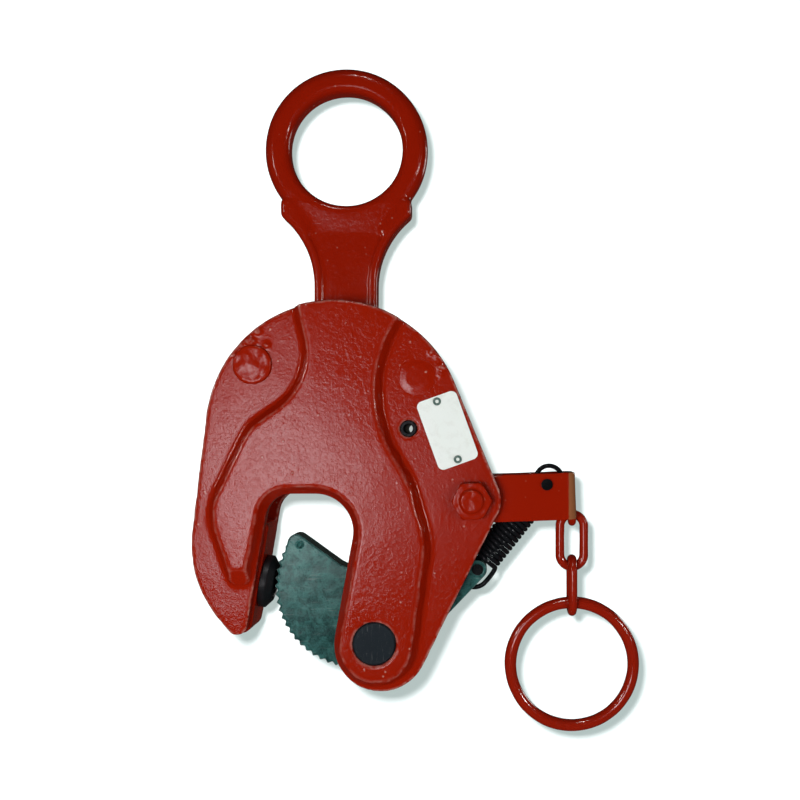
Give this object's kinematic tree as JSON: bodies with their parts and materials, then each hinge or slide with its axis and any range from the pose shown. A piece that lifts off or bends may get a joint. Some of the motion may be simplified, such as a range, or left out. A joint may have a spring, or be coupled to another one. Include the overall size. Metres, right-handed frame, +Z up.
{
  "type": "vertical lifting clamp",
  "caption": "Plate lifting clamp: two banded side plates, a lifting eye, a toothed cam facing a round jaw pad, and a spring-loaded lever worked by a chain and pull ring.",
  "frame": {"origin": "centre of the lifting eye, halfway between the two side plates", "axes": "+Z up, +X from the fixed jaw to the lever, +Y from the front plate with the data plate to the rear plate; the clamp hangs by its eye, closed on an empty jaw"},
  "size_m": [0.2271, 0.0575, 0.3428],
  "materials": {
    "red_paint": "thick gloss red paint over forged and cut steel",
    "worn_steel": "oiled, worn grey steel",
    "black_steel": "black oxide, lightly oiled",
    "blued_steel": "dark blue-grey steel",
    "white_plate": "white enamel on thin sheet, blank",
    "zinc": "dull zinc"
  },
  "bodies": {
    "shackle": {"lifting_shackle": "red_paint"},
    "pin": {"shackle_pin": "worn_steel"},
    "links": {"front_link": "worn_steel", "rear_link": "worn_steel"},
    "frame": {"front_side_plate": "red_paint", "rear_side_plate": "red_paint", "left_spacer_stud": "red_paint", "right_spacer_stud": "red_paint", "dowel_pin": "black_steel", "jaw_block": "red_paint", "cam_pin": "blued_steel", "lever_bush": "worn_steel", "lever_bolt": "red_paint", "lever_nut": "red_paint", "data_plate": "white_plate", "upper_plate_rivet": "zinc", "lower_plate_rivet": "zinc"},
    "pad": {"jaw_pad": "black_steel", "jaw_circlip": "black_steel"},
    "cam": {"cam": "worn_steel", "link_pin": "worn_steel", "tail_pin": "black_steel"},
    "lever": {"lever": "red_paint", "spring_pin": "black_steel"},
    "spring": {"return_spring": "black_steel"},
    "upper_link": {"upper_chain_link": "red_paint"},
    "lower_link": {"lower_chain_link": "red_paint"},
    "ring": {"pull_ring": "red_paint"}
  },
  "joints": [
    {"name": "shackle_swing", "type": "hinge", "parent": "shackle", "child": "pin", "pos_m": [0, 0, -0.105], "axis": [0, 1, 0], "range_deg": [-30, 30]},
    {"name": "lift_slide", "type": "slide", "parent": "pin", "child": "frame", "axis": [0, 0, 1], "range_m": [0, 0.009]},
    {"name": "link_swing", "type": "hinge", "parent": "pin", "child": "links", "pos_m": [0, 0, -0.105], "axis": [0, 1, 0], "range_deg": [-2.3, 0]},
    {"name": "cam_pivot", "type": "hinge", "parent": "frame", "child": "cam", "pos_m": [0.0166, 0, -0.2506], "axis": [0, 1, 0], "range_deg": [0, 24.2]},
    {"name": "lever_pivot", "type": "hinge", "parent": "frame", "child": "lever", "pos_m": [0.0649, 0, -0.18], "axis": [0, 1, 0], "range_deg": [0, 17]},
    {"name": "spring_swing", "type": "hinge", "parent": "lever", "child": "spring", "pos_m": [0.10296, 0, -0.17237], "axis": [0, 1, 0], "range_deg": [-31, 0]},
    {"name": "upper_link_swing", "type": "hinge", "parent": "lever", "child": "upper_link", "pos_m": [0.11671, 0, -0.19235], "axis": [0, 1, 0], "range_deg": [-17, 0]},
    {"name": "lower_link_swing", "type": "hinge", "parent": "upper_link", "child": "lower_link", "pos_m": [0.11671, 0, -0.2157], "axis": [1, 0, 0], "range_deg": [-25, 25]},
    {"name": "ring_swing", "type": "hinge", "parent": "lower_link", "child": "ring", "pos_m": [0.11671, 0, -0.239], "axis": [0, 1, 0], "range_deg": [-30, 30]},
    {"name": "pad_spin", "type": "hinge", "parent": "frame", "child": "pad", "pos_m": [-0.04418, 0, -0.22242], "axis": [0.9858, 0, -0.1681], "continuous": true}
  ],
  "couplings": [
    {"joint": "cam_pivot", "follows": "lift_slide", "rad_per_m": 46.508},
    {"joint": "lever_pivot", "follows": "lift_slide", "rad_per_m": 32.556},
    {"joint": "spring_swing", "follows": "lift_slide", "rad_per_m": -59.344},
    {"joint": "upper_link_swing", "follows": "lift_slide", "rad_per_m": -32.556},
    {"joint": "link_swing", "follows": "lift_slide", "rad_per_m": -4.275}
  ]
}
